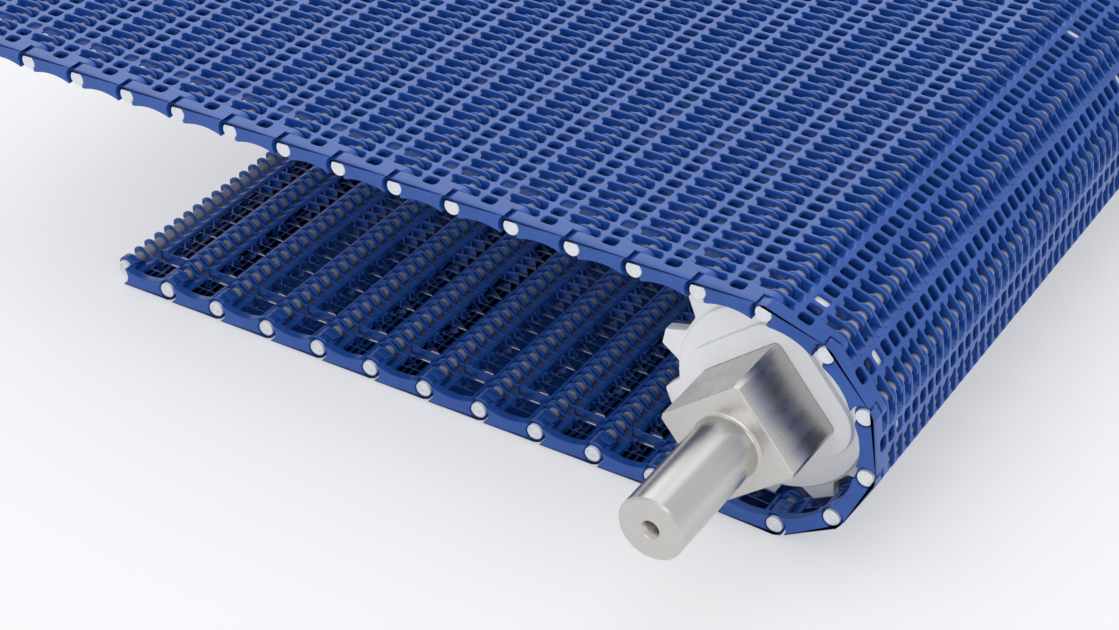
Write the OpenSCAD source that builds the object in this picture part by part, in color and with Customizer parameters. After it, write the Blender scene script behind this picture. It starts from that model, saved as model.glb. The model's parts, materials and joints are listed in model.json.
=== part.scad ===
// Flush-grid modular plastic belt wrapped half round two sprockets on a square shaft.
// X runs along the belt, Y across it along the shaft, Z is up. The return run lies on
// Z = 0, and the origin is below the middle of the whole assembly.

/* [Belt] */
// Distance from one hinge rod to the next, mm
pitch = 25.4; // [25.2:0.1:26]
// Number of link steps across the belt
links = 48; // [32:4:56]
// Distance from one link to the next across the belt, mm
link_step = 6.35; // [6.3:0.05:6.6]
// Thickness of the belt, mm
belt_t = 8.7; // [8.5:0.1:8.9]
// Rows in the level carry run
carry_rows = 15; // [4:1:15]
// Rows in the level return run
return_rows = 11; // [4:1:11]

/* [Hinges] */
// Width of one thin link, mm
link_w = 1.3; // [1.2:0.05:1.35]
// Side gap between two neighbouring links, mm
link_gap = 0.25; // [0.22:0.01:0.3]
// Diameter of a hinge rod, mm
rod_d = 4.8; // [4.6:0.1:4.9]
// Diameter of the hole for the rod, mm
rod_hole_d = 5.1; // [5.1:0.05:5.2]
// Diameter of the rod's head, mm
head_d = 6.5; // [6.2:0.1:6.8]
// Thickness of the rod's head, mm
head_t = 1.6; // [1.4:0.1:1.8]

/* [Deck] */
// Thickness of the deck plate, mm
deck_t = 1.5; // [1.3:0.1:1.8]
// Width of a hole through the deck, mm
hole_d = 5; // [4:0.1:5.2]

/* [Sprockets] */
// Number of teeth, one for each row of a full turn
teeth = 11; // [11, 13]
// Thickness of the ring of teeth, mm
tooth_t = 4.6; // [4:0.1:4.8]
// Width of a tooth at its tip, mm
tooth_tip_w = 6.8; // [6:0.1:7]
// Side of the square boss round the shaft, mm
boss_w = 55; // [52:0.5:56]
// Width of the whole sprocket along the shaft, mm
sprocket_w = 14; // [12:0.5:16]

// Turn of the sprockets past the place where their lowest row lies flat, degrees
wrap_turn = 2.5; // [0:0.1:3]

/* [Shaft] */
// Side of the square shaft, mm
square = 38.1; // [36:0.1:40]
// Chamfer along the square's corners, mm
corner_chamfer = 1.5; // [1:0.1:2]
// Turn of the square about the shaft's axis, degrees
square_turn = 39.4; // [0:0.1:90]
// How far the square reaches past each belt edge, mm
square_overhang = 18; // [12:1:24]
// Diameter of each journal, mm
journal_d = 25; // [24:0.5:30]
// Length of each journal, mm
journal_l = 52; // [40:1:60]
// Depth of the centre hole in each journal, mm
centre_depth = 12; // [10:1:14]

/* [Hidden] */
$fn = 64;

// Belt
belt_w = links * link_step;
eye_r = belt_t / 2;
wrap_step = 360 / teeth;
wrapped_rows = (teeth + 1) / 2;
rod_circle_r = pitch / 2 / sin(wrap_step / 2);
chord_r = rod_circle_r * cos(wrap_step / 2);

// Places of the hinge rods round the shaft's axis, X and Z. Rod 0 is where the carry run
// meets the wrap; the numbers go down along the carry run and up along the return run.
function wrap_rod(i) = rod_circle_r * [sin(i * wrap_step + wrap_turn),
                                       cos(i * wrap_step + wrap_turn)];
lowest_z = min([for (i = [0 : wrapped_rows]) wrap_rod(i).y]);
drop = wrap_rod(wrapped_rows).y - lowest_z;
first_return_x = wrap_rod(wrapped_rows).x - sqrt(pitch * pitch - drop * drop);
function rod_at(i) =
    i <= 0 ? wrap_rod(0) + [i * pitch, 0]
    : i <= wrapped_rows ? wrap_rod(i)
    : [first_return_x - (i - wrapped_rows - 1) * pitch, lowest_z];

carry_end_x = rod_at(-carry_rows).x - eye_r;
nose_end_x = max([for (i = [0 : wrapped_rows]) wrap_rod(i).x]) + eye_r;
shaft_x = -(carry_end_x + nose_end_x) / 2;
shaft_z = eye_r - lowest_z;

// Plan of one row, measured from its first rod; a thin link of the next row stands
// beside each thin link of this one
head_link_y = 2.5;
tail_link_y = head_link_y + link_w + link_gap;
edge_link_w = 3.4;
edge_t = 2.1;
edge_plate_w = head_link_y + link_step + link_w / 2 - edge_link_w - link_gap;
far_plate_y = head_link_y + (links - 2) * link_step + link_w / 2 + link_gap;
tail_web_x = [6.6, 8.4];
head_web_x = [16.8, 19.4];
tip_reach = 5;
hole_x = pitch / 2 + 0.1;
over = 1;

// Side view of one row
foot_z = -3.3;
arch_z = -1.8;
arch_r = 25;
neighbour_r = 5;
head_clear_r = head_d / 2 + 0.35;
head_recess = 2.5;
seat_x = 2.6;
head_y = 0.6;
pocket_x = [9.1, 16.3];
window_x = [5.4, 20];
window_w = tooth_t + 0.6;
rod_far_y = belt_w - 1.5;
end_head_y = 4.2;

// Sprocket; one stands under the slot of each of these link steps
sprocket_slots = [3, links - 10];
tooth_tip_r = chord_r + 2.35;
tooth_flank = 27;
valley_r = rod_circle_r - 6.5;
disc_r = valley_r - 1.1;
boss_corner_r = 14.5;
disc_w = 9.4;
bore_fit = 0.15;

// Colours
belt_blue = [0.11, 0.23, 0.62];
rod_white = [0.88, 0.88, 0.9];
sprocket_white = [0.95, 0.95, 0.95];
steel = [0.72, 0.71, 0.69];

// ---------------------------------------------------------------- belt row

// Outline of the row from above: thin links to the left round the first rod, the
// deck in the middle, thin links to the right round the next rod
function tail_link(y) = [
    [tail_web_x[0], y - link_w / 2], [-tip_reach, y - link_w / 2],
    [-tip_reach, y + link_w / 2], [tail_web_x[1], y + link_w / 2],
];
function head_link(y, w) = [
    [head_web_x[1], y + link_w / 2], [pitch + tip_reach, y + link_w / 2],
    [pitch + tip_reach, y + link_w / 2 - w], [head_web_x[0], y + link_w / 2 - w],
];
function tail_side() = [
    [-tip_reach, 0], [-tip_reach, edge_plate_w], [tail_web_x[1], edge_plate_w],
    for (k = [1 : 2 : links - 3]) each tail_link(tail_link_y + k * link_step),
    [tail_web_x[0], far_plate_y], [-tip_reach, far_plate_y], [-tip_reach, belt_w],
];
function head_side() = [
    [pitch, belt_w], [pitch, far_plate_y + link_gap], [head_web_x[0], far_plate_y + link_gap],
    for (k = [links - 2 : -2 : 2]) each head_link(head_link_y + k * link_step, link_w),
    each head_link(head_link_y + link_step, edge_link_w),
    [head_web_x[0], edge_plate_w], [pitch, edge_plate_w], [pitch, 0],
];

module row_plan() {
    difference() {
        polygon(concat(tail_side(), head_side()));
        for (k = [1 : links - 1]) translate([hole_x, k * link_step]) circle(d = hole_d);
    }
}

// Outline of the row from the side, X to the right and the deck at the top
module row_side() {
    circle(eye_r);
    translate([pitch, 0]) circle(eye_r);
    translate([0, foot_z]) square([pitch, eye_r - foot_z]);
}

// A bar along Y with the given section in X and Z
module across(y0, y1) {
    translate([0, y1, 0]) rotate([90, 0, 0]) linear_extrude(y1 - y0) children();
}

module rod_space(x, y0, y1, r, z = 0) {
    translate([x, y1, z]) rotate([90, 0, 0]) cylinder(r = r, h = y1 - y0);
}

module under_deck(x, y0, y1) {
    translate([x[0], y0, -belt_t]) cube([x[1] - x[0], y1 - y0, belt_t + eye_r - deck_t]);
}

module belt_row() {
    color(belt_blue)
    difference() {
        intersection() {
            translate([0, 0, -belt_t]) linear_extrude(2 * belt_t) row_plan();
            across(0, belt_w) row_side();
        }
        // open pocket under the deck, between the two cross walls
        under_deck(pocket_x, edge_t, belt_w - edge_t);
        // wider windows that let the sprocket teeth in
        for (slot = sprocket_slots)
            under_deck(window_x, slot * link_step - window_w / 2, slot * link_step + window_w / 2);
        // shallow arch under each edge
        rod_space(pitch / 2 - 0.2, -over, edge_plate_w, arch_r, arch_z - arch_r);
        rod_space(pitch / 2 - 0.2, far_plate_y, belt_w + over, arch_r, arch_z - arch_r);
        rod_space(0, -over, belt_w + over, rod_hole_d / 2);
        rod_space(pitch, 6, belt_w + over, rod_hole_d / 2);
        // hollow ends of the side plates clear the next row's eyes
        rod_space(pitch, -over, edge_plate_w + link_gap / 2, neighbour_r);
        rod_space(pitch, far_plate_y, belt_w + over, neighbour_r);
        // seat of the rod's head, open below and to the left
        rod_space(0, -over, head_recess, head_clear_r);
        translate([-eye_r - over, -over, -eye_r - over])
            cube([seat_x + eye_r + over, head_recess + over, 2 * eye_r - 0.6]);
    }
}

// ---------------------------------------------------------------- hinge rods

module hinge_rod(y = head_y) {
    color(rod_white) {
        rod_space(0, y + head_t / 2, rod_far_y, rod_d / 2);
        rod_space(0, y, y + head_t, head_d / 2);
    }
}

// ---------------------------------------------------------------- places in the belt

// At rod number i
module at_rod(i) {
    place = rod_at(i);
    translate([shaft_x + place.x, -belt_w / 2, shaft_z + place.y]) children();
}

// At rod number i, turned so that X points at the next rod
module along_row(i) {
    step = rod_at(i + 1) - rod_at(i);
    at_rod(i) rotate([0, -atan2(step.y, step.x), 0]) children();
}

// ---------------------------------------------------------------- sprockets

module tooth_outline() {
    root_r = disc_r - 1;
    root_half = tooth_tip_w / 2 + (tooth_tip_r - root_r) * tan(tooth_flank);
    polygon([[root_r, -root_half], [tooth_tip_r, -tooth_tip_w / 2],
             [tooth_tip_r, tooth_tip_w / 2], [root_r, root_half]]);
}

module boss_outline() {
    flat = boss_w - 2 * boss_corner_r;
    square([boss_w, flat], center = true);
    square([flat, boss_w], center = true);
    for (sx = [-1, 1], sy = [-1, 1])
        translate([sx * flat / 2, sy * flat / 2]) circle(boss_corner_r);
}

module square_outline(side, chamfer) {
    inner = side / 2 - chamfer;
    half = side / 2;
    polygon([[inner, -half], [half, -inner], [half, inner], [inner, half],
             [-inner, half], [-half, inner], [-half, -inner], [-inner, -half]]);
}

module sprocket(slot) {
    translate([shaft_x, slot * link_step - belt_w / 2, shaft_z])
    rotate([90, 0, 0])
    color(sprocket_white)
    difference() {
        union() {
            translate([0, 0, -tooth_t / 2]) linear_extrude(tooth_t) {
                circle(valley_r, $fn = 120);
                for (k = [0 : teeth - 1]) rotate(90 - (k + 0.5) * wrap_step - wrap_turn) tooth_outline();
            }
            translate([0, 0, -disc_w / 2]) cylinder(r = disc_r, h = disc_w, $fn = 120);
            translate([0, 0, -sprocket_w / 2]) linear_extrude(sprocket_w)
                rotate(square_turn) boss_outline();
        }
        translate([0, 0, -sprocket_w]) linear_extrude(2 * sprocket_w)
            rotate(square_turn)
                square_outline(square + 2 * bore_fit, corner_chamfer + bore_fit / 2);
    }
}

module sprocket_near() { sprocket(sprocket_slots[0]); }
module sprocket_far() { sprocket(sprocket_slots[1]); }

// ---------------------------------------------------------------- shaft

module centre_hole() {
    mouth_r = 3.5;
    drill_r = 2.1;
    rotate_extrude()
        polygon([[0, 1], [mouth_r + 0.6, 1], [mouth_r + 0.6, 0], [mouth_r, 0],
                 [drill_r, -2.4], [drill_r, -centre_depth], [0, -centre_depth - 1.2]]);
}

module drive_shaft() {
    square_l = belt_w + 2 * square_overhang;
    end_l = square_l / 2 + journal_l;
    edge = 0.8;
    fillet = 1.5;
    color(steel)
    translate([shaft_x, 0, shaft_z])
    rotate([90, 0, 0])
    difference() {
        union() {
            translate([0, 0, -square_l / 2]) linear_extrude(square_l)
                rotate(square_turn) square_outline(square, corner_chamfer);
            rotate_extrude()
                polygon([[0, -end_l], [journal_d / 2 - edge, -end_l],
                         [journal_d / 2, -end_l + edge], [journal_d / 2, end_l - edge],
                         [journal_d / 2 - edge, end_l], [0, end_l]]);
            for (side = [0, 180]) rotate([side, 0, 0]) translate([0, 0, square_l / 2])
                rotate_extrude() difference() {
                    translate([0, -0.5]) square([journal_d / 2 + fillet, fillet + 0.5]);
                    translate([journal_d / 2 + fillet, fillet]) circle(fillet);
                }
        }
        for (side = [0, 180]) rotate([side, 0, 0]) translate([0, 0, end_l]) centre_hole();
    }
}

// ---------------------------------------------------------------- nodes

module wrapped_rows_top() { for (i = [0, 1]) along_row(i) belt_row(); }
module wrapped_rows_nose() { for (i = [2, 3]) along_row(i) belt_row(); }
module wrapped_rows_bottom() { for (i = [4 : wrapped_rows - 1]) along_row(i) belt_row(); }
module wrapped_rods() { for (i = [0 : wrapped_rows - 1]) at_rod(i) hinge_rod(); }
module end_rod() { at_rod(wrapped_rows + return_rows) hinge_rod(end_head_y); }

drive_shaft();
sprocket_near();
sprocket_far();
wrapped_rows_top();
wrapped_rows_nose();
wrapped_rows_bottom();
wrapped_rods();
end_rod();
for (n = [1 : carry_rows]) {
    along_row(-n) belt_row();
    at_rod(-n) hinge_rod();
}
for (n = [1 : return_rows]) {
    i = wrapped_rows + n - 1;
    along_row(i) belt_row();
    at_rod(i) hinge_rod();
}
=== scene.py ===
"""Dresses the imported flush-grid belt: moulded rows, rods, sprockets, shaft and a pale studio."""

import json
import math
from types import SimpleNamespace

import bmesh
import bpy
from bpy.props import FloatProperty, FloatVectorProperty, IntProperty, PointerProperty
from mathutils import Matrix, Vector


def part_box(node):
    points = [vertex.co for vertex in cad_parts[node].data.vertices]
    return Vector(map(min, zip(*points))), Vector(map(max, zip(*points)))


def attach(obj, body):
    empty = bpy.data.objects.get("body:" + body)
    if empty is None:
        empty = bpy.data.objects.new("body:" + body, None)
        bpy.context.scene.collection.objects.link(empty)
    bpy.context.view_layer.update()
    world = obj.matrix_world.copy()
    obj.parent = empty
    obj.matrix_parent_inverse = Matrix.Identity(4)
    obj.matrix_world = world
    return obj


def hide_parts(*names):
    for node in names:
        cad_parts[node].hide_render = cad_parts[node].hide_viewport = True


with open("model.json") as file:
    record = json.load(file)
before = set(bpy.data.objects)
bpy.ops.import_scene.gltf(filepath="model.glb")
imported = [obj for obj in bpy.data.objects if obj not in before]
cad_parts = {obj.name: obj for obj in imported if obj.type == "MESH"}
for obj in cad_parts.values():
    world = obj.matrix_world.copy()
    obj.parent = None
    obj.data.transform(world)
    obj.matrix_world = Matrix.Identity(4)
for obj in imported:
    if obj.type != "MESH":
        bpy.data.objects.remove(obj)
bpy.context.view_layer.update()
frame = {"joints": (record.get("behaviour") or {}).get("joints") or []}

bl_info = {
    "name": "Modular grid belt",
    "version": (1, 0, 0),
    "blender": (4, 5, 0),
    "location": "3D View > Sidebar > Belt",
    "description": "Moulded belt rows on hinge rods, wrapped round sprockets on a square shaft",
    "category": "Add Mesh",
}

MM = 0.001
TEETH = 11
LINKS = 48
STEP = 6.35

# ------------------------------------------------------------------ places taken from the frame

JOINTS = {j["name"]: Vector(j["pos_m"]) for j in frame["joints"]}
CARRY = sum(name.startswith("carry_hinge_") for name in JOINTS)
RETURN = sum(name.startswith("return_hinge_") for name in JOINTS)
AXLE = JOINTS["shaft_turn"]
LAST_WRAP = (TEETH + 1) // 2


def rod_place(i):
    """X and Z of hinge rod i: 0 and below on the carry run, 6 and above on the return run."""
    if i <= 0:
        if i > -CARRY:
            p = JOINTS[f"carry_hinge_{1 - i}"]
        else:
            p = 2 * rod_place(i + 1) - rod_place(i + 2)
    elif i < LAST_WRAP:
        arm = rod_place(0) - AXLE
        p = AXLE + Matrix.Rotation(i * math.tau / TEETH, 4, "Y") @ arm
    elif i < LAST_WRAP + RETURN:
        p = JOINTS[f"return_hinge_{i - LAST_WRAP + 1}"]
    else:
        p = 2 * rod_place(i - 1) - rod_place(i - 2)
    return Vector((p.x, 0, p.z))


PITCH = (JOINTS["carry_hinge_2"] - JOINTS["carry_hinge_1"]).length / MM
BELT_W = LINKS * STEP
EYE_R = 4.35


def row_body(i):
    """Body that carries the row from rod i to rod i + 1."""
    if i < 0:
        return f"carry_{-i}"
    return "nose" if i < LAST_WRAP else f"return_{i - LAST_WRAP + 1}"


def row_matrix(i):
    """Row frame: rod i at the origin, X towards rod i + 1, Y across the belt, Z out of the deck."""
    a, b = rod_place(i), rod_place(i + 1)
    x = (b - a).normalized()
    y = Vector((0, 1, 0))
    z = x.cross(y)
    m = Matrix((x, y, z)).transposed().to_4x4()
    m.translation = a + Vector((0, -BELT_W / 2 * MM, 0))
    return m


# ------------------------------------------------------------------ sizes and colours

def length(name, text, value):
    return FloatProperty(name=name, description=text, default=value, min=0, precision=5,
                         subtype="DISTANCE", unit="LENGTH")


def colour(name, text, value):
    return FloatVectorProperty(name=name, description=text, default=value, size=3, min=0, max=1,
                               subtype="COLOR")


class BeltShape(bpy.types.PropertyGroup):
    link_w: length("Link width", "Width of one thin link", 0.0013)
    link_gap: length("Link gap", "Side gap between two neighbouring links", 0.00025)
    deck_t: length("Deck thickness", "Thickness of the deck plate", 0.0015)
    slot_l: length("Slot length", "Length of a deck slot along the belt", 0.0056)
    slot_w: length("Slot width", "Width of a deck slot across the belt", 0.0046)
    rib_t: length("Rib thickness", "Thickness of a cross rib under the deck", 0.0012)
    edge: length("Edge rounding", "Width of the rounded moulded edges", 0.0003)


class RodShape(bpy.types.PropertyGroup):
    rod_d: length("Rod diameter", "Diameter of a hinge rod", 0.0048)
    head_d: length("Head diameter", "Diameter of the rod's head", 0.0065)
    head_t: length("Head thickness", "Thickness of the rod's head", 0.0016)


class SprocketShape(bpy.types.PropertyGroup):
    tooth_t: length("Tooth thickness", "Thickness of the ring of teeth", 0.0046)
    tip_w: length("Tip width", "Width of a tooth at its tip", 0.0068)
    boss_w: length("Boss side", "Side of the square boss round the shaft", 0.055)
    width: length("Sprocket width", "Width of the whole sprocket along the shaft", 0.014)


class ShaftShape(bpy.types.PropertyGroup):
    square: length("Square side", "Side of the square shaft", 0.0381)
    journal_d: length("Journal diameter", "Diameter of the round journals", 0.025)
    chamfer: length("Corner chamfer", "Chamfer along the square's corners", 0.0015)


class BeltFinish(bpy.types.PropertyGroup):
    belt: colour("Belt colour", "Colour of the moulded rows", (0.011, 0.072, 0.33))
    rod: colour("Rod colour", "Colour of the milky rod heads", (0.78, 0.79, 0.82))
    # the rod stem colour is painted shade: a darker, bluer stand-in for the shade that falls on the rods
    # between the links
    rod_painted_shade: colour("Rod shade", "Colour of the rods between the blue links", (0.36, 0.37, 0.44))
    sprocket: colour("Sprocket colour", "Colour of the sprockets", (0.9, 0.9, 0.9))
    steel: colour("Steel colour", "Colour of the stainless shaft", (0.66, 0.64, 0.61))
    floor: colour("Floor colour", "Colour of the floor", (0.93, 0.93, 0.94))


# ------------------------------------------------------------------ mesh tools

def rounded(points, radii, steps=3):
    """Outline with each corner rounded by its radius; one radius may serve for all."""
    if isinstance(radii, (int, float)):
        radii = [radii] * len(points)
    out = []
    n = len(points)
    for k, (p, r) in enumerate(zip(points, radii)):
        p = Vector(p)
        a = (Vector(points[k - 1]) - p)
        b = (Vector(points[(k + 1) % n]) - p)
        turn = a.angle(b)
        if r <= 0 or turn > math.pi - 0.01:
            out.append(p)
            continue
        reach = min(r / math.tan(turn / 2), 0.49 * a.length, 0.49 * b.length)
        a, b = a.normalized(), b.normalized()
        r = reach * math.tan(turn / 2)
        centre = p + (a + b).normalized() * (r / math.sin(turn / 2))
        start, end = p + a * reach - centre, p + b * reach - centre
        sweep = start.angle_signed(end)
        for s in range(steps + 1):
            t = -sweep * s / steps
            out.append(centre + Vector((start.x * math.cos(t) - start.y * math.sin(t),
                                        start.x * math.sin(t) + start.y * math.cos(t))))
    return [(p.x, p.y) for p in out]


def arc(cx, cy, r, start, end, steps):
    """Points of a circle's arc, angles in degrees."""
    return [(cx + r * math.cos(math.radians(start + (end - start) * k / steps)),
             cy + r * math.sin(math.radians(start + (end - start) * k / steps)))
            for k in range(steps + 1)]


def stack(bm, rings):
    """Closed solid through rings of 3D points with the same count."""
    rings = [[bm.verts.new(p) for p in ring] for ring in rings]
    bm.faces.new(rings[0][::-1])
    bm.faces.new(rings[-1])
    for a, b in zip(rings, rings[1:]):
        for k, (p, q) in enumerate(zip(a, b)):
            bm.faces.new((a[k - 1], p, q, b[k - 1]))


def upright(bm, outline, z0, z1):
    """Prism of an X, Y outline between two heights."""
    stack(bm, [[(x, y, z) for x, y in outline] for z in (z0, z1)])


def crosswise(bm, outline, y0, y1):
    """Prism of an X, Z outline between two places across the belt."""
    stack(bm, [[(x, y, z) for x, z in outline] for y in (y1, y0)])


def lathe(bm, profile, steps=48):
    """Solid of revolution about Y from (radius, y) points; a radius of 0 makes a tip."""
    rings = []
    for r, y in profile:
        if r < 1e-6:
            rings.append([bm.verts.new((0, y, 0))])
        else:
            rings.append([bm.verts.new((r * math.cos(math.tau * k / steps), y,
                                        r * math.sin(math.tau * k / steps)))
                          for k in range(steps)])
    for a, b in zip(rings, rings[1:]):
        for k in range(steps):
            q = (k + 1) % steps
            if len(a) == 1:
                bm.faces.new((a[0], b[q], b[k]))
            elif len(b) == 1:
                bm.faces.new((a[k], a[q], b[0]))
            else:
                bm.faces.new((a[k], a[q], b[q], b[k]))


def solid(name, build):
    """Object in millimetres made by a function that fills a bmesh."""
    bm = bmesh.new()
    build(bm)
    bmesh.ops.recalc_face_normals(bm, faces=bm.faces)
    mesh = bpy.data.meshes.new(name)
    bm.to_mesh(mesh)
    bm.free()
    obj = bpy.data.objects.new(name, mesh)
    bpy.context.scene.collection.objects.link(obj)
    return obj


def combine(obj, operation, *tools):
    """Joins, cuts or intersects obj with tools, which are used up."""
    for tool in tools:
        m = obj.modifiers.new("form", "BOOLEAN")
        m.operation, m.solver, m.object = operation, "MANIFOLD", tool
        apply_modifiers(obj)
        bpy.data.objects.remove(tool)
    return obj


def apply_modifiers(obj):
    """Turns what the modifiers make into the object's own mesh."""
    bpy.context.view_layer.update()
    shape = obj.evaluated_get(bpy.context.evaluated_depsgraph_get())
    mesh = bpy.data.meshes.new_from_object(shape)
    obj.modifiers.clear()
    old, obj.data = obj.data, mesh
    name = old.name
    bpy.data.meshes.remove(old)
    mesh.name = name


def bevelled(obj, width, angle):
    """Rounds the edges that turn by more than angle, in degrees."""
    m = obj.modifiers.new("edges", "BEVEL")
    m.width, m.segments, m.limit_method = width, 2, "ANGLE"
    m.angle_limit = math.radians(angle)
    apply_modifiers(obj)
    return obj


def softened(obj, width, keep_sharp, angle=33):
    """One bevel along the outward edges, except those that keep_sharp says yes to.

    The bevel overshoots the deck by 0.24 mm at three corners of the side plates, so heights are
    held to what they were. Known fault: this leaves a dark fold along the near edge and covers
    part of the rod heads.
    """
    bm = bmesh.new()
    bm.from_mesh(obj.data)
    weight = bm.edges.layers.float.new("bevel_weight_edge")
    for e in bm.edges:
        if e.is_convex and e.calc_face_angle(0) > math.radians(angle) and not keep_sharp(e):
            e[weight] = 1
    heights = [v.co.z for v in bm.verts]
    bottom, top = min(heights), max(heights)
    bm.to_mesh(obj.data)
    bm.free()
    m = obj.modifiers.new("edges", "BEVEL")
    m.width, m.segments, m.limit_method, m.use_clamp_overlap = width, 1, "WEIGHT", False
    apply_modifiers(obj)
    for v in obj.data.vertices:
        v.co.z = min(max(v.co.z, bottom), top)
    return obj


def cleaned(obj, cuts, angle=0.5):
    """Welds doubles and melts needless points out of flat faces, which end at the cuts in Y."""
    bm = bmesh.new()
    bm.from_mesh(obj.data)
    bmesh.ops.remove_doubles(bm, verts=bm.verts, dist=0.02)
    bmesh.ops.dissolve_degenerate(bm, edges=bm.edges, dist=0.01)
    for y in cuts:
        near = []
        for f in bm.faces:
            across = [v.co.y for v in f.verts]
            if min(across) < y < max(across):
                near.append(f)
        edges = list({e for f in near for e in f.edges})
        points = list({v for f in near for v in f.verts})
        cut = bmesh.ops.bisect_plane(bm, geom=near + edges + points,
                                     plane_co=(0, y, 0), plane_no=(0, 1, 0))
        for e in cut["geom_cut"]:
            if isinstance(e, bmesh.types.BMEdge):
                e.seam = True
    bmesh.ops.dissolve_limit(bm, angle_limit=math.radians(angle), verts=bm.verts, edges=bm.edges,
                             delimit={"SEAM"})
    bm.to_mesh(obj.data)
    bm.free()
    return obj


def finished(obj, material, smooth_angle):
    """Turns millimetres into metres, shades by angle and gives the material."""
    mesh = obj.data
    mesh.transform(Matrix.Scale(MM, 4))
    mesh.shade_smooth()
    mesh.set_sharp_from_angle(angle=math.radians(smooth_angle))
    mesh.materials.clear()
    mesh.materials.append(material)
    mesh.update()
    return obj


# ------------------------------------------------------------------ shader tools

class Socket:
    """A shader value in a node tree, with arithmetic that adds the Math nodes."""

    def __init__(self, paint, link):
        self.paint, self.link = paint, link

    def _math(self, operation, *values):
        return self.paint.node("ShaderNodeMath", {"operation": operation},
                               dict(enumerate(values)))

    def __add__(self, other):
        return self._math("ADD", self, other)

    def __radd__(self, other):
        return self._math("ADD", other, self)

    def __mul__(self, other):
        return self._math("MULTIPLY", self, other)

    def __rmul__(self, other):
        return self._math("MULTIPLY", other, self)

    def above(self, edge, width):
        """0 below edge, 1 above edge + width, smooth between."""
        return self.paint.node("ShaderNodeMapRange", {"interpolation_type": "SMOOTHSTEP"},
                               {"Value": self, "From Min": edge, "From Max": edge + width})


class Paint:
    """One procedural material: a Principled shader and the nodes that feed it."""

    def __init__(self, name, **constants):
        self.material = bpy.data.materials.new(name)
        self.material.use_nodes = True
        self.tree = self.material.node_tree
        self.tree.nodes.clear()
        self.shader = self.tree.nodes.new("ShaderNodeBsdfPrincipled")
        self.out = self.tree.nodes.new("ShaderNodeOutputMaterial")
        self.tree.links.new(self.shader.outputs[0], self.out.inputs[0])
        self.feed(**constants)

    def put(self, node, key, value):
        """Links or sets one socket; a colour of three numbers gets its alpha."""
        socket = node.inputs[key]
        if isinstance(value, Socket):
            self.tree.links.new(value.link, socket)
            return
        if socket.type == "RGBA" and len(value) == 3:
            value = (*value, 1)
        socket.default_value = value

    def node(self, kind, settings=None, values=None, output=0):
        """Adds one node with its settings, then its values or links."""
        n = self.tree.nodes.new(kind)
        for key, value in (settings or {}).items():
            setattr(n, key, value)
        for key, value in (values or {}).items():
            self.put(n, key, value)
        return Socket(self, n.outputs[output])

    def feed(self, **values):
        """Sets or links sockets of the Principled shader."""
        for key, value in values.items():
            self.put(self.shader, key.replace("_", " "), value)

    def whole(self):
        """The Principled shader's own output."""
        return Socket(self, self.shader.outputs[0])

    def place(self, scale=(1, 1, 1)):
        """Place on the piece, in metres, stretched by scale."""
        at = self.node("ShaderNodeTexCoord", output=3)
        return self.node("ShaderNodeVectorMath", {"operation": "MULTIPLY"}, {0: at, 1: scale})

    def noise(self, at, scale, detail, rough=0.5):
        return self.node("ShaderNodeTexNoise", {"noise_dimensions": "3D"},
                         {"Vector": at, "Scale": scale, "Detail": detail, "Roughness": rough})

    def mix(self, factor, a, b):
        return self.node("ShaderNodeMix", {"data_type": "RGBA"},
                         {0: factor, 6: a, 7: b}, output=2)

    def bump(self, height, distance, strength):
        return self.node("ShaderNodeBump", {},
                         {"Height": height, "Distance": distance, "Strength": strength})


def belt_paint(finish):
    """Glossy moulded blue with a faint flow pattern and paler rubbed spots."""
    p = Paint("belt_plastic", IOR=1.5)
    at = p.place()
    cloud = p.noise(at, 60.0, 2.0)
    grain = p.noise(at, 900.0, 3.0)
    deep = tuple(finish.belt)
    pale = tuple(min(1, c * 1.25 + 0.01) for c in deep)
    p.feed(Base_Color=p.mix(cloud.above(0.4, 0.25) * 0.5, deep, pale),
           Roughness=0.2 + 0.1 * grain,
           Normal=p.bump(grain, 0.00006, 0.25))
    return p.material


def rod_paint(finish):
    """Milky, slightly cloudy rod plastic, pale at the head; the stem past the head carries painted
    shade, darker and bluer, for the shade between the links.
    """
    p = Paint("rod_plastic", IOR=1.48, Subsurface_Weight=0.2,
              Subsurface_Radius=(1.0, 1.0, 1.0), Subsurface_Scale=0.0015)
    at = p.place()
    cloud = p.noise(at, 240.0, 3.0)
    along = p.node("ShaderNodeSeparateXYZ", {}, {"Vector": at}, output=1)
    base = tuple(finish.rod)
    dim = tuple(finish.rod_painted_shade)
    # painted shade: past 6 mm along Y the rod takes the darker, bluer stem colour in place of the milky
    # head colour
    painted_shade_past_head = along.above(0.006, 0.0005)
    p.feed(Base_Color=p.mix(painted_shade_past_head * (0.9 + 0.1 * cloud), base, dim),
           Roughness=0.3 + 0.12 * cloud, Normal=p.bump(cloud, 0.0001, 0.2))
    return p.material


def sprocket_paint(finish):
    """Machined white plastic with faint tool marks."""
    p = Paint("sprocket_plastic", IOR=1.49)
    at = p.place()
    cloud = p.noise(at, 35.0, 2.0)
    marks = p.noise(p.place((1, 14, 1)), 260.0, 2.0)
    base = tuple(finish.sprocket)
    dim = tuple(0.93 * c for c in base)
    p.feed(Base_Color=p.mix(cloud, dim, base), Roughness=0.4 + 0.12 * marks,
           Normal=p.bump(marks, 0.00008, 0.25))
    return p.material


def steel_paint(finish):
    """Bright stainless with fine marks drawn out along the shaft."""
    p = Paint("shaft_steel", Metallic=1.0)
    marks = p.noise(p.place((1, 0.04, 1)), 320.0, 4.0, 0.6)
    cloud = p.noise(p.place(), 40.0, 2.0)
    base = tuple(finish.steel)
    dim = tuple(0.82 * c for c in base)
    p.feed(Base_Color=p.mix(marks * 0.6 + cloud * 0.3, dim, base),
           Roughness=0.2 + 0.16 * marks,
           Normal=p.bump(marks, 0.00005, 0.15))
    return p.material


# ------------------------------------------------------------------ belt rows

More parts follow.
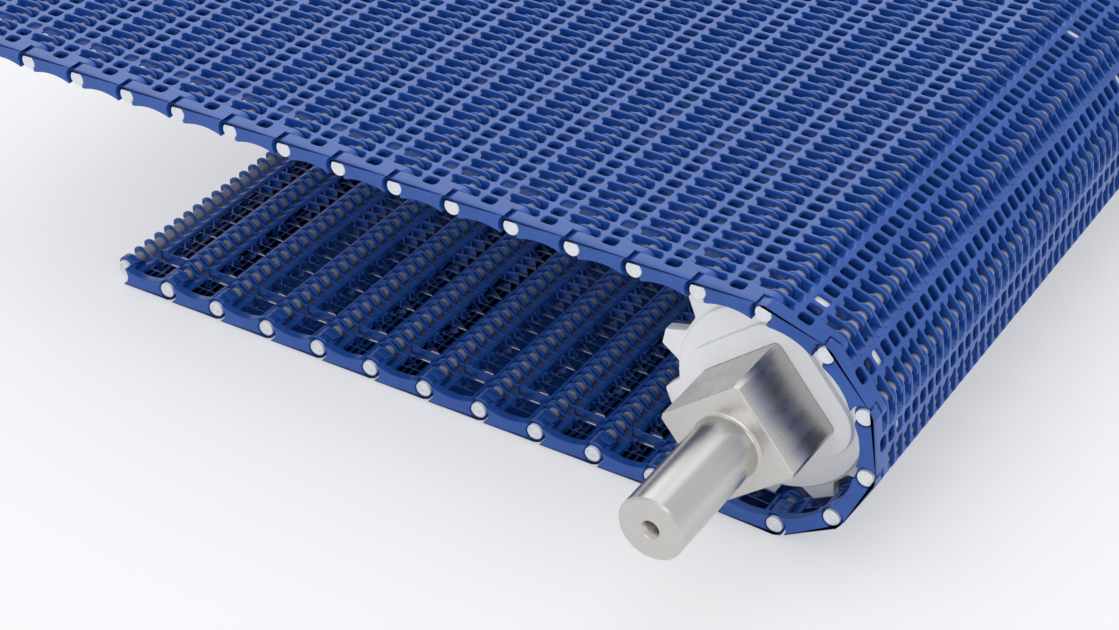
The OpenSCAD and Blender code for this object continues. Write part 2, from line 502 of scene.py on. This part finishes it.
# across the belt, in millimetres from the near edge
HEAD_LINK_Y = 2.5
EDGE_LINK_W = 3.4
SPROCKET_SLOTS = (3, LINKS - 10)

# in the side view of a row, in millimetres and degrees; rod 0 is the origin
FOOT_ANGLE = 49.3
ROD_HOLE_R = 2.55
HEAD_SEAT_R = 3.6
THIN_EYE_END = 3.6
NEXT_EYE_CLEARANCE_R = 5
SLOT_MIDDLE = 12.75
SLOT_CORNER_R = 1.35
RIB_FOOT, RIB_EDGE = -1.0, -0.2
ARM_ROOT, ARM_TIP = 19.4, 24.6

# how far the cutters stand past the row
OVER_TOP, OVER_BOTTOM = 6, -6
OVER_END = 9
OVER_SIDE = 5


def row_side():
    """Side view of a row: eyes round both rods, feet and a shallow arch below."""
    left = arc(0, 0, EYE_R, 90, 180 + FOOT_ANGLE, 14)
    low = arc(0, 0, EYE_R, 180 + FOOT_ANGLE, 360 - FOOT_ANGLE, 8)[1:]
    arch_r, arch_half = 25, 19.95
    bow = arc(12.5, -26.8, arch_r, 90 + arch_half, 90 - arch_half, 12)
    right = arc(PITCH, 0, EYE_R, FOOT_ANGLE - 180, 90, 22)
    return left + low + bow + right


def row_places(s):
    """Places of the links and side plates across the belt, in millimetres."""
    w, gap = s.link_w / MM, s.link_gap / MM
    first = HEAD_LINK_Y + STEP + w / 2
    return SimpleNamespace(w=w, gap=gap, first_gap=first, tail_link=HEAD_LINK_Y + w + gap,
                           near_plate=first - EDGE_LINK_W - gap,
                           far_plate=HEAD_LINK_Y + (LINKS - 2) * STEP + w / 2 + gap)


def deck_underside(s):
    """Height of the deck's lower face above the rods."""
    return EYE_R - s.deck_t / MM


def wall(bm, y0, y1, reach, stations):
    """Opening from reach to a slanting wall; a station is z, X at y0, X at y1, corner."""
    rings = []
    for z, x0, x1, r in stations:
        outline = rounded([(reach, y0), (x0, y0), (x1, y1), (reach, y1)], [0, r, r, 0], 4)
        rings.append([(x, y, z) for x, y in outline])
    stack(bm, rings)


def sloping(z, z0, x0, z1, x1):
    """X at height z on the line through two known points."""
    return x0 + (x1 - x0) * (z - z0) / (z1 - z0)


def openings(bm, at):
    """Room for the neighbours' links between this row's own, at both rods."""
    ledge, foot = 1.0, 4.8
    deck_near, deck_far = 9.5, 6.3
    tail = [(OVER_TOP, sloping(OVER_TOP, ledge, foot, EYE_R, deck_near),
             sloping(OVER_TOP, ledge, foot, EYE_R, deck_far), 1.4),
            (ledge, foot, foot, 0.6), (OVER_BOTTOM, foot, foot, 0.6)]
    half = at.w / 2
    links = [at.tail_link + k * STEP for k in range(1, LINKS - 2)]
    lows = [at.near_plate] + [y + half for y in links]
    highs = [y - half for y in links] + [at.far_plate]
    for y0, y1 in zip(lows, highs):
        wall(bm, y0, y1, -OVER_END, tail)

    root = 19.95
    head = [(OVER_TOP, 19.2, 15.6, 1.2), (RIB_FOOT, root, 17.7, 0.8), (OVER_BOTTOM, root, 18.2, 0.8)]
    links = [HEAD_LINK_Y + k * STEP for k in range(2, LINKS - 1)]
    lows = [at.first_gap] + [y + half for y in links]
    highs = [y - half for y in links] + [at.far_plate + at.gap]
    for y0, y1 in zip(lows, highs):
        wall(bm, y0, y1, PITCH + OVER_END, head)


def slots(bm, s):
    """Rounded slots through the deck, one to a link."""
    half_x, half_y = s.slot_l / MM / 2, s.slot_w / MM / 2
    x0, x1 = SLOT_MIDDLE - half_x, SLOT_MIDDLE + half_x
    for k in range(1, LINKS):
        y0, y1 = k * STEP - half_y, k * STEP + half_y
        box = [(x0, y0), (x1, y0), (x1, y1), (x0, y1)]
        upright(bm, rounded(box, SLOT_CORNER_R, 4), deck_underside(s) - 1, OVER_TOP)


def pockets(bm, s):
    """Hollows under the deck between the ribs, straight where the sprockets' teeth go."""
    half = (STEP - s.rib_t / MM) / 2
    under = deck_underside(s)
    usual = [(OVER_BOTTOM, 6.3, 17.0), (RIB_FOOT, 6.3, 17.0), (1.0, 6.4, 16.2), (under, 8.2, 15.6)]
    window = [(OVER_BOTTOM, 5.4, 20), (under, 5.4, 20)]
    for k in range(1, LINKS):
        y = k * STEP
        stack(bm, [[(x0, y - half, z), (x1, y - half, z), (x1, y + half, z), (x0, y + half, z)]
                   for z, x0, x1 in (window if k in SPROCKET_SLOTS else usual)])


def braces(bm):
    """Thin slanting braces between the ribs."""
    half, top = 0.37, 0.9
    for k in range(2, LINKS):
        if k in SPROCKET_SLOTS:
            continue
        a, b = Vector((13.3, (k - 0.5) * STEP)), Vector((17.5, (k + 0.3) * STEP))
        side = (b - a).normalized().orthogonal() * half
        corners = [tuple(p) for p in (a + side, a - side, b - side, b + side)]
        upright(bm, corners, RIB_EDGE, top)


def cut_across(row, name, *prisms):
    """Cuts prisms out of the row; each is an X, Z outline and its two ends in Y."""
    def build(bm):
        for outline, y0, y1 in prisms:
            crosswise(bm, outline, y0, y1)

    combine(row, "DIFFERENCE", solid(name, build))


def cut_underside(row, s, at):
    """Shallow ribs, arms cut away below and short eyes on the thin links."""
    rib_end = (STEP + s.rib_t / MM) / 2
    foot_x = EYE_R * math.cos(math.radians(FOOT_ANGLE))
    rib_cut = arc(0, 0, EYE_R, -FOOT_ANGLE, -13.3, 4)
    rib_cut += [(6.3, RIB_FOOT), (6.3, RIB_EDGE), (16.7, RIB_EDGE), (17.0, RIB_FOOT),
                (ARM_ROOT, RIB_FOOT), (ARM_ROOT, OVER_BOTTOM), (foot_x, OVER_BOTTOM)]
    cut_across(row, "cut_ribs", (rib_cut, rib_end, BELT_W - rib_end))
    links_y = at.first_gap + 0.1, at.far_plate
    arm_cut = [(ARM_ROOT, OVER_BOTTOM), (ARM_ROOT, RIB_FOOT), (21.75, RIB_FOOT),
               (ARM_TIP, -3.85), (ARM_TIP, OVER_BOTTOM)]
    cut_across(row, "cut_arms", (arm_cut, *links_y))
    eye, past = PITCH + THIN_EYE_END, PITCH + OVER_END
    eye_cut = [(eye, OVER_BOTTOM), (eye, OVER_TOP), (past, OVER_TOP), (past, OVER_BOTTOM)]
    cut_across(row, "cut_eyes", (eye_cut, *links_y))


def cut_ends(row, at):
    """Rod holes, hollow side plates, and the crown and seat round the rod's head."""
    beyond = BELT_W + OVER_SIDE
    inside_plate = 6
    cut_across(row, "cut_rods", (arc(0, 0, ROD_HOLE_R, 0, 345, 23), -OVER_SIDE, beyond),
               (arc(PITCH, 0, ROD_HOLE_R, 0, 345, 23), inside_plate, beyond))
    # hollow ends of the side plates clear the next row's eyes
    hollow = arc(PITCH, 0, NEXT_EYE_CLEARANCE_R, 0, 352.5, 47)
    plate_end = at.near_plate + at.gap / 2
    cut_across(row, "cut_ends", (hollow, -OVER_SIDE, plate_end), (hollow, at.far_plate, beyond))
    crown = [(-6, OVER_TOP), (-6, 2.9), (-2.6, 2.9), (-0.5, 4.0), (-0.5, OVER_TOP)]
    cut_across(row, "cut_crown", (crown, -OVER_SIDE, plate_end))
    # the seat is open below and to the left
    seat = arc(0, 0, HEAD_SEAT_R, 0, 345, 23)
    cut_across(row, "cut_seat", (seat, -OVER_SIDE, 2.5))
    side = [(-6, OVER_BOTTOM), (2.6, OVER_BOTTOM), (2.6, 2.75), (-6, 2.75)]
    cut_across(row, "cut_seat_side", (side, -OVER_SIDE, 2.45))


def row_mesh(s):
    """One moulded row as a single closed solid, in millimetres."""
    at = row_places(s)
    row = solid("belt_row", lambda bm: crosswise(bm, row_side(), 0, BELT_W))
    combine(row, "DIFFERENCE", solid("cut_openings", lambda bm: openings(bm, at)),
            solid("cut_slots", lambda bm: slots(bm, s)), solid("cut_pockets", lambda bm: pockets(bm, s)))
    cut_underside(row, s, at)
    combine(row, "UNION", solid("add_braces", braces))
    cut_ends(row, at)
    return cleaned(row, [(k + 0.5) * STEP for k in range(LINKS)])


class BELT_OT_rows(bpy.types.Operator):
    """Builds one moulded row and stands it on every pair of hinge rods"""
    bl_idname = "belt.rows"
    bl_label = "Belt rows"

    def execute(self, context):
        s = context.scene.belt_shape
        row = row_mesh(s)
        if s.edge > 0:
            under = deck_underside(s)
            softened(row, s.edge / MM, lambda e: all(abs(v.co.z - under) < 0.01 for v in e.verts))
        finished(row, belt_paint(context.scene.belt_finish), 58)
        m = row.modifiers.new("soft_edges", "WEIGHTED_NORMAL")
        m.weight, m.keep_sharp = 80, True
        apply_modifiers(row)
        wrapped = ("wrapped_rows_top", "wrapped_rows_nose", "wrapped_rows_bottom")
        for i in range(-CARRY, LAST_WRAP + RETURN):
            if i < 0:
                name, node = f"moulded_carry_row_{-i}", f"carry_row_{-i}"
            elif i < LAST_WRAP:
                name, node = f"moulded_wrapped_row_{i + 1}", wrapped[i // 2]
            else:
                n = i - LAST_WRAP + 1
                name, node = f"moulded_return_row_{n}", f"return_row_{n}"
            place = row_matrix(i)
            tilted = abs(place[2][0]) > 1e-6
            if tilted:
                piece = bpy.data.objects.new(name, row.data.copy())
                piece.data.transform(place)
            else:
                piece = bpy.data.objects.new(name, row.data)
                piece.matrix_world = place
            context.scene.collection.objects.link(piece)
            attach(piece, row_body(i))
            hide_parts(node)
        bpy.data.objects.remove(row)
        return {"FINISHED"}


class BELT_OT_rods(bpy.types.Operator):
    """Builds the headed hinge rods, the last one pushed further in"""
    bl_idname = "belt.rods"
    bl_label = "Hinge rods"

    def execute(self, context):
        s = context.scene.belt_rods
        r, hr, ht = s.rod_d / MM / 2, s.head_d / MM / 2, s.head_t / MM
        far = BELT_W - 1.5

        def rod(bm, y):
            """Rod whose head starts at y, with a low dome inside a moulded ring."""
            dome = [(0, y + 0.1), (0.4, y + 0.18), (0.8, y + 0.5), (1.2, y + 0.62)]
            ring = [(1.8, y + 0.62), (2.2, y + 0.25), (2.45, y), (hr - 0.4, y), (hr - 0.1, y + 0.12)]
            rim = [(hr, y + 0.4), (hr, y + ht - 0.2), (hr - 0.2, y + ht)]
            stem = [(r, y + ht), (r, far - 0.5), (r - 0.5, far), (0, far)]
            lathe(bm, dome + ring + rim + stem)

        paint = rod_paint(context.scene.belt_finish)
        usual_y, pushed_y = 0.6, 4.2
        usual = finished(solid("rod", lambda bm: rod(bm, usual_y)), paint, 35)
        pushed = finished(solid("rod_pushed", lambda bm: rod(bm, pushed_y)), paint, 35)
        last = LAST_WRAP + RETURN
        for i in range(-CARRY, last + 1):
            if i < 0:
                name, node = f"headed_carry_rod_{-i}", f"carry_rod_{-i}"
            elif i < LAST_WRAP:
                name, node = f"headed_wrapped_rod_{i + 1}", "wrapped_rods"
            elif i < last:
                n = i - LAST_WRAP + 1
                name, node = f"headed_return_rod_{n}", f"return_rod_{n}"
            else:
                name, node = "headed_end_rod", "end_rod"
            piece = bpy.data.objects.new(name, (pushed if i == last else usual).data)
            context.scene.collection.objects.link(piece)
            piece.matrix_world = Matrix.Translation(rod_place(i) - Vector((0, BELT_W / 2 * MM, 0)))
            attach(piece, row_body(min(i, last - 1)))
            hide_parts(node)
        bpy.data.objects.remove(usual)
        bpy.data.objects.remove(pushed)
        return {"FINISHED"}


# ------------------------------------------------------------------ sprockets and shaft

# how far the shaft's square and the boss are turned about the axle
SQUARE_TURN = math.radians(39.4)


def wrap_turn():
    """Angle of rod 0 past the top of the shaft."""
    arm = rod_place(0) - AXLE
    return math.atan2(arm.x, arm.z)


def rod_circle():
    """Radius of the circle that the wrapped rods lie on, in millimetres."""
    return (rod_place(0) - AXLE).length / MM


def turned(points, angle):
    """Outline turned about the shaft."""
    c, q = math.cos(angle), math.sin(angle)
    return [(x * c - y * q, x * q + y * c) for x, y in points]


def box_outline(side, radius, steps):
    """Square outline with rounded corners."""
    h = side / 2
    return rounded([(h, -h), (h, h), (-h, h), (-h, -h)], radius, steps)


def tooth_ring(s):
    """Outline of the ring of teeth in X, Z about the shaft: rounded valleys, blunt tips."""
    rods_r = rod_circle()
    half_pitch = math.pi / TEETH
    tip_r = rods_r * math.cos(half_pitch) + 2.7
    valley_r = rods_r - 6.5
    half_tip = s.tip_w / MM / 2
    flank_slope = math.tan(math.radians(27))
    root_half = half_tip + (tip_r - valley_r) * flank_slope
    root = valley_r * 0.985
    valley = (valley_r * math.cos(half_pitch), valley_r * math.sin(half_pitch))
    tooth = [(root, -root_half), (tip_r, -half_tip), (tip_r, half_tip), (root, root_half), valley]
    corners = (2.2, 0.7, 0.7, 2.2, 8)
    points = []
    for k in range(TEETH):
        points += turned(tooth, math.pi / 2 + (k + 0.5) * math.tau / TEETH - wrap_turn())
    return rounded(points, corners * TEETH, 4)


class BELT_OT_sprockets(bpy.types.Operator):
    """Builds both white sprockets: ring of teeth, disc and square boss"""
    bl_idname = "belt.sprockets"
    bl_label = "Sprockets"

    def execute(self, context):
        s = context.scene.belt_sprockets
        shaft = context.scene.belt_shaft
        half = s.tooth_t / MM / 2
        paint = sprocket_paint(context.scene.belt_finish)

        ring = solid("sprocket", lambda bm: crosswise(bm, tooth_ring(s), -half, half))
        bevelled(ring, 0.35, 50)
        disc_r, disc_half, chamfer = rod_circle() - 7.6, 4.7, 0.5
        side = [(0, disc_half), (disc_r - chamfer, disc_half), (disc_r, disc_half - chamfer)]
        profile = [(r, -y) for r, y in side] + side[::-1]
        disc = solid("disc", lambda bm: lathe(bm, profile, 96))
        boss_outline = turned(box_outline(s.boss_w / MM, 14.5, 10), SQUARE_TURN)
        boss_half = s.width / MM / 2
        boss = solid("boss", lambda bm: crosswise(bm, boss_outline, -boss_half, boss_half))
        bevelled(boss, 0.6, 50)
        combine(ring, "UNION", disc, boss)
        play, past = 0.3, 20
        bore = turned(box_outline(shaft.square / MM + play, 1.6, 1), SQUARE_TURN)
        combine(ring, "DIFFERENCE", solid("bore", lambda bm: crosswise(bm, bore, -past, past)))
        finished(ring, paint, 35)
        for node in ("sprocket_near", "sprocket_far"):
            low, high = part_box(node)
            piece = bpy.data.objects.new("toothed_" + node, ring.data)
            context.scene.collection.objects.link(piece)
            piece.matrix_world = Matrix.Translation((AXLE.x, (low.y + high.y) / 2, AXLE.z))
            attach(piece, "shaft")
            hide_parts(node)
        bpy.data.objects.remove(ring)
        return {"FINISHED"}


class BELT_OT_shaft(bpy.types.Operator):
    """Builds the stainless shaft: drawn square, turned journals and centre holes"""
    bl_idname = "belt.shaft"
    bl_label = "Square shaft"

    def execute(self, context):
        s = context.scene.belt_shaft
        low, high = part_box("drive_shaft")
        end = (high.y - low.y) / 2 / MM
        shoulder = BELT_W / 2 + 18
        r = s.journal_d / MM / 2
        outline = turned(box_outline(s.square / MM, s.chamfer / MM, 1), SQUARE_TURN)
        square = solid("drive_shaft_square", lambda bm: crosswise(bm, outline, -shoulder, shoulder))
        bevelled(square, 0.3, 60)

        def journals(bm):
            """Both journals on one core, with centre holes and a fillet at each shoulder."""
            hole_r, fillet = 2.1, 1.5
            hole = [(0, end - 12.6), (hole_r, end - 12), (hole_r, end - 2.4), (3.5, end - 0.15)]
            face = [(3.7, end), (r - 0.8, end), (r, end - 0.8), (r, shoulder + fillet)]
            curve = arc(r + fillet, shoulder + fillet, fillet, 180, 270, 4)[1:]
            side = hole + face + curve + [(r + fillet, shoulder - 0.5)]
            lathe(bm, side + [(q, -y) for q, y in reversed(side)], 128)

        combine(square, "UNION", solid("journals", journals))
        square.name = "turned_drive_shaft"
        finished(square, steel_paint(context.scene.belt_finish), 35)
        square.matrix_world = Matrix.Translation(AXLE)
        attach(square, "shaft")
        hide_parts("drive_shaft")
        return {"FINISHED"}


# ------------------------------------------------------------------ studio

class BELT_OT_stage(bpy.types.Operator):
    """Builds the pale floor, the soft lamps, the sky and the camera"""
    bl_idname = "belt.stage"
    bl_label = "Studio"

    def execute(self, context):
        scene = context.scene
        finish = scene.belt_finish
        scene.view_settings.view_transform = "Standard"
        half = 6
        outline = [(-half, -half), (half, -half), (half, half), (-half, half)]
        floor = solid("floor", lambda bm: upright(bm, outline, -0.02, -0.0006))
        p = Paint("floor_paint", Base_Color=tuple(finish.floor), Roughness=0.6, Specular_IOR_Level=0.2)
        seen = p.node("ShaderNodeLightPath", output="Is Camera Ray")
        glossy = p.node("ShaderNodeLightPath", output="Is Glossy Ray")
        clear = p.node("ShaderNodeLightPath", output="Is Transmission Ray")
        glow = p.node("ShaderNodeEmission", {}, {"Color": (1, 1, 1)})
        mixed = p.node("ShaderNodeMixShader", {},
                       {0: (seen + glossy + clear) * 0.42, 1: p.whole(), 2: glow})
        p.put(p.out, "Surface", mixed)
        floor.data.materials.append(p.material)

        world = bpy.data.worlds.new("sky")
        scene.world = world
        world.use_nodes = True
        back = world.node_tree.nodes["Background"]
        back.inputs["Color"].default_value = (0.94, 0.96, 1.0, 1)
        back.inputs["Strength"].default_value = 0.8

        def lamp(name, at, aim, size, watts):
            data = bpy.data.lights.new(name, "AREA")
            data.shape, data.size, data.size_y = "RECTANGLE", *size
            data.energy = watts
            obj = bpy.data.objects.new(name, data)
            scene.collection.objects.link(obj)
            obj.location = at
            obj.rotation_euler = (Vector(aim) - Vector(at)).to_track_quat("-Z", "Y").to_euler()

        lamp("top_softbox", (-0.2, 0.3, 1.5), (0, 0, 0), (1.6, 1.2), 4)
        lamp("side_softbox", (1.4, -0.2, 0.7), (0.1, 0, 0.05), (0.9, 0.9), 2)
        lamp("rear_softbox", (-1.1, 1.6, 1.15), (0, 0, 0.05), (1.8, 1.2), 7)
        lamp("front_softbox", (0.1, -1.7, 0.75), (0, 0, 0.05), (1.4, 0.9), 5)

        data = bpy.data.cameras.new("camera")
        camera = bpy.data.objects.new("camera", data)
        scene.collection.objects.link(camera)
        camera.location = (0.465224, -0.749015, 0.561557)
        camera.rotation_euler = [math.radians(a) for a in (54.7634, 0.2391, 32.1001)]
        data.sensor_fit, data.sensor_width, data.lens = "HORIZONTAL", 36, 77.397
        data.clip_start, data.clip_end = 0.05, 50
        scene.camera = camera
        return {"FINISHED"}


class BELT_PT_sidebar(bpy.types.Panel):
    bl_label = "Modular grid belt"
    bl_idname = "BELT_PT_sidebar"
    bl_space_type = "VIEW_3D"
    bl_region_type = "UI"
    bl_category = "Belt"

    def draw(self, context):
        for operator in OPERATORS:
            self.layout.operator(operator.bl_idname)
        for group in GROUPS:
            shown = getattr(context.scene, group)
            box = self.layout.box()
            for name in shown.bl_rna.properties.keys():
                if name not in ("rna_type", "name"):
                    box.prop(shown, name)


OPERATORS = (BELT_OT_rows, BELT_OT_rods, BELT_OT_sprockets, BELT_OT_shaft, BELT_OT_stage)
GROUPS = {"belt_shape": BeltShape, "belt_rods": RodShape, "belt_sprockets": SprocketShape,
          "belt_shaft": ShaftShape, "belt_finish": BeltFinish}


def register():
    for c in (*GROUPS.values(), *OPERATORS, BELT_PT_sidebar):
        bpy.utils.register_class(c)
    for name, group in GROUPS.items():
        setattr(bpy.types.Scene, name, PointerProperty(type=group))


def unregister():
    for name in GROUPS:
        delattr(bpy.types.Scene, name)
    for c in (BELT_PT_sidebar, *reversed(OPERATORS), *reversed(list(GROUPS.values()))):
        bpy.utils.unregister_class(c)


def main():
    register()
    for operator in OPERATORS:
        section, name = operator.bl_idname.split(".")
        getattr(getattr(bpy.ops, section), name)()


if __name__ == "__main__":
    main()
